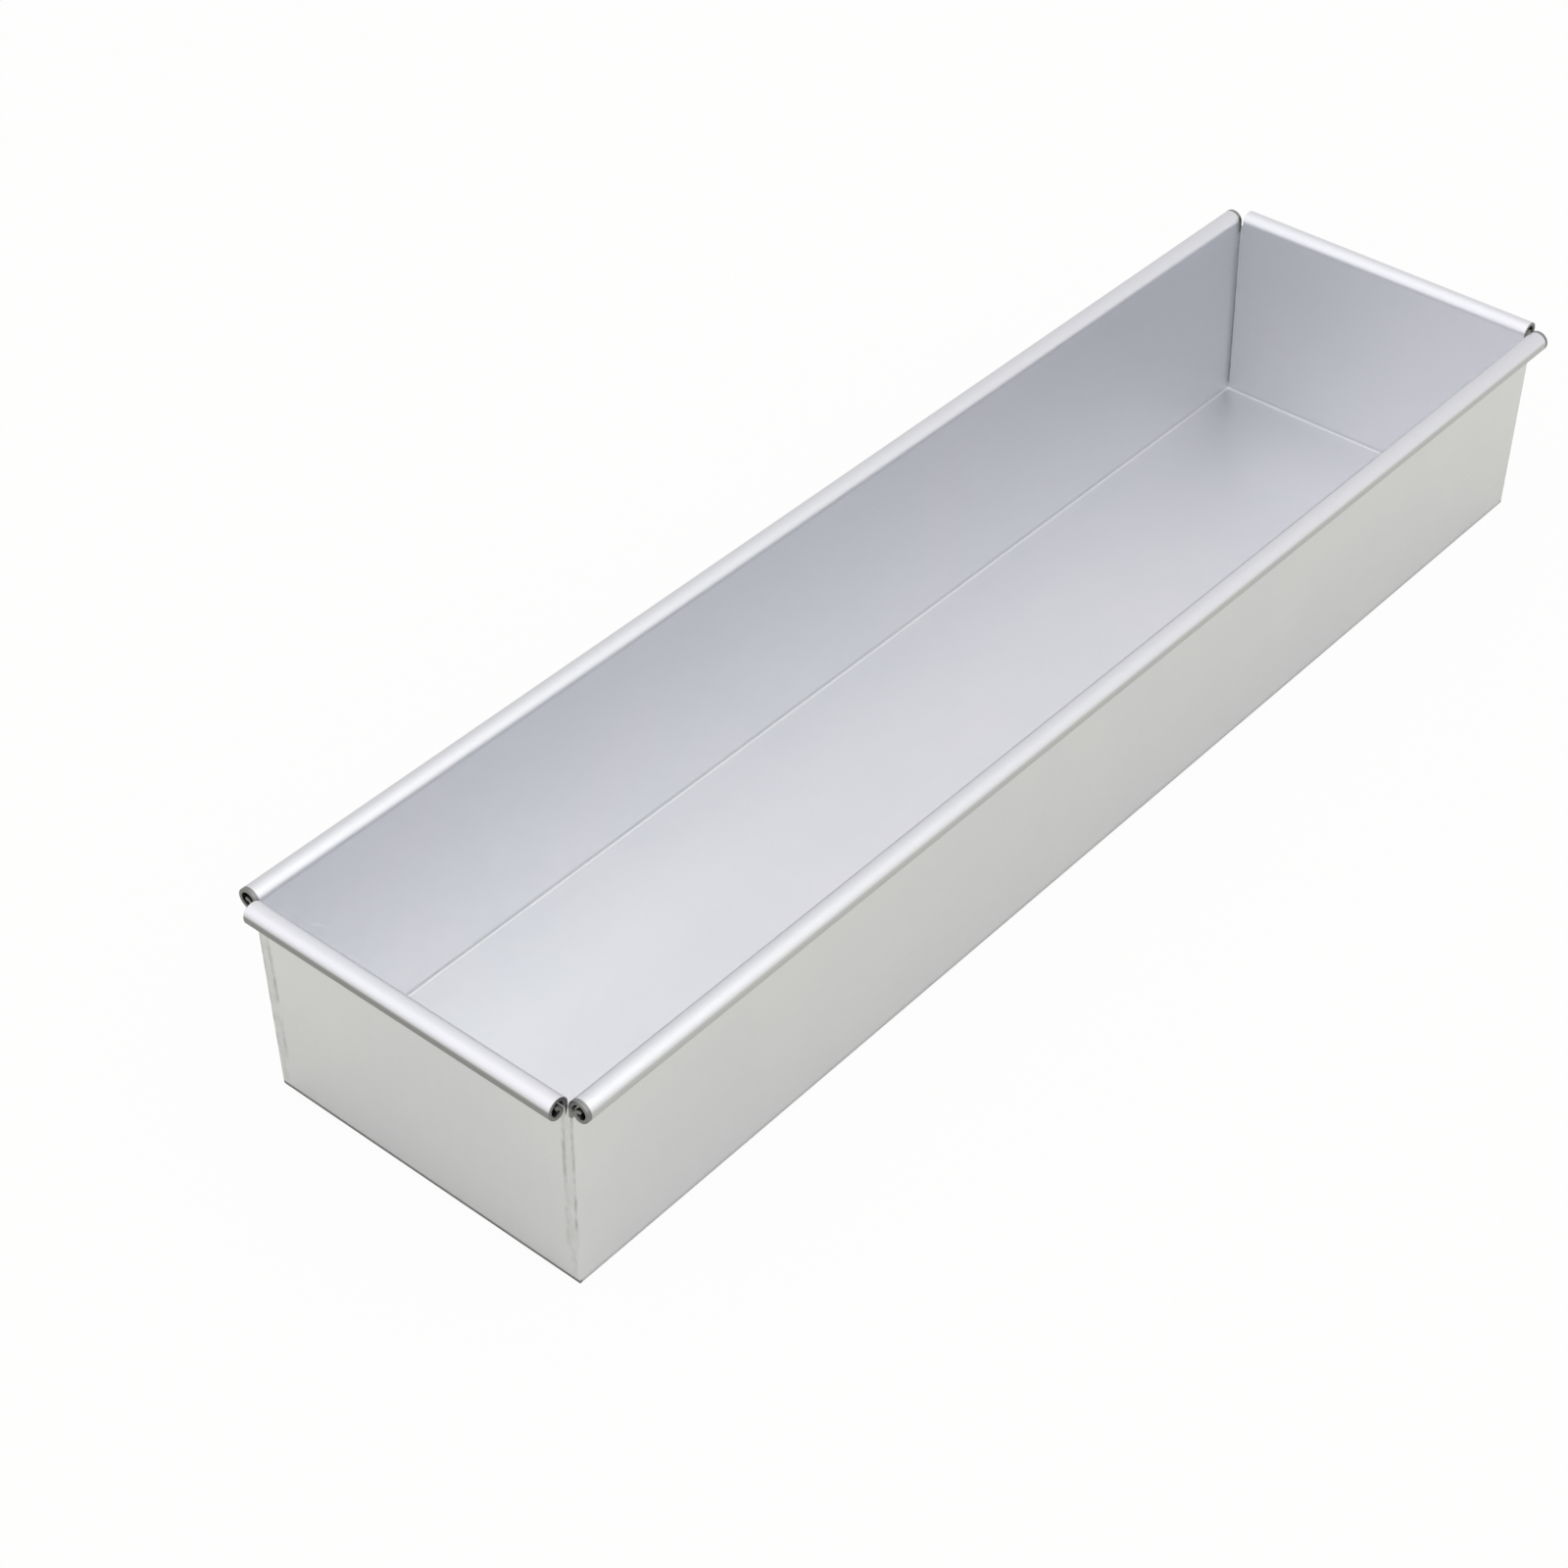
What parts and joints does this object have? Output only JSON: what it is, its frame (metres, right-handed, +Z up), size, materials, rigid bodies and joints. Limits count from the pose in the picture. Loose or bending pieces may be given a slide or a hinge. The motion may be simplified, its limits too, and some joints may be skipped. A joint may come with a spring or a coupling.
{
  "type": "tiramisu mould",
  "caption": "Long, narrow rectangular baking mould of folded aluminium sheet, open at the top, with a rolled rim and welded corners.",
  "frame": {"origin": "middle of the underside of the floor, on the surface that the mould stands on", "axes": "+X along the mould's length, +Y across its width, +Z up out of its open top"},
  "size_m": [0.4122, 0.112, 0.0628],
  "materials": {
    "anodised_sheet": "satin anodised",
    "weld_filler": "satin, slightly uneven"
  },
  "bodies": {
    "root": {"mould_body": "anodised_sheet", "corner_weld_front_right": "weld_filler", "corner_weld_front_left": "weld_filler", "corner_weld_back_right": "weld_filler", "corner_weld_back_left": "weld_filler"}
  },
  "joints": []
}
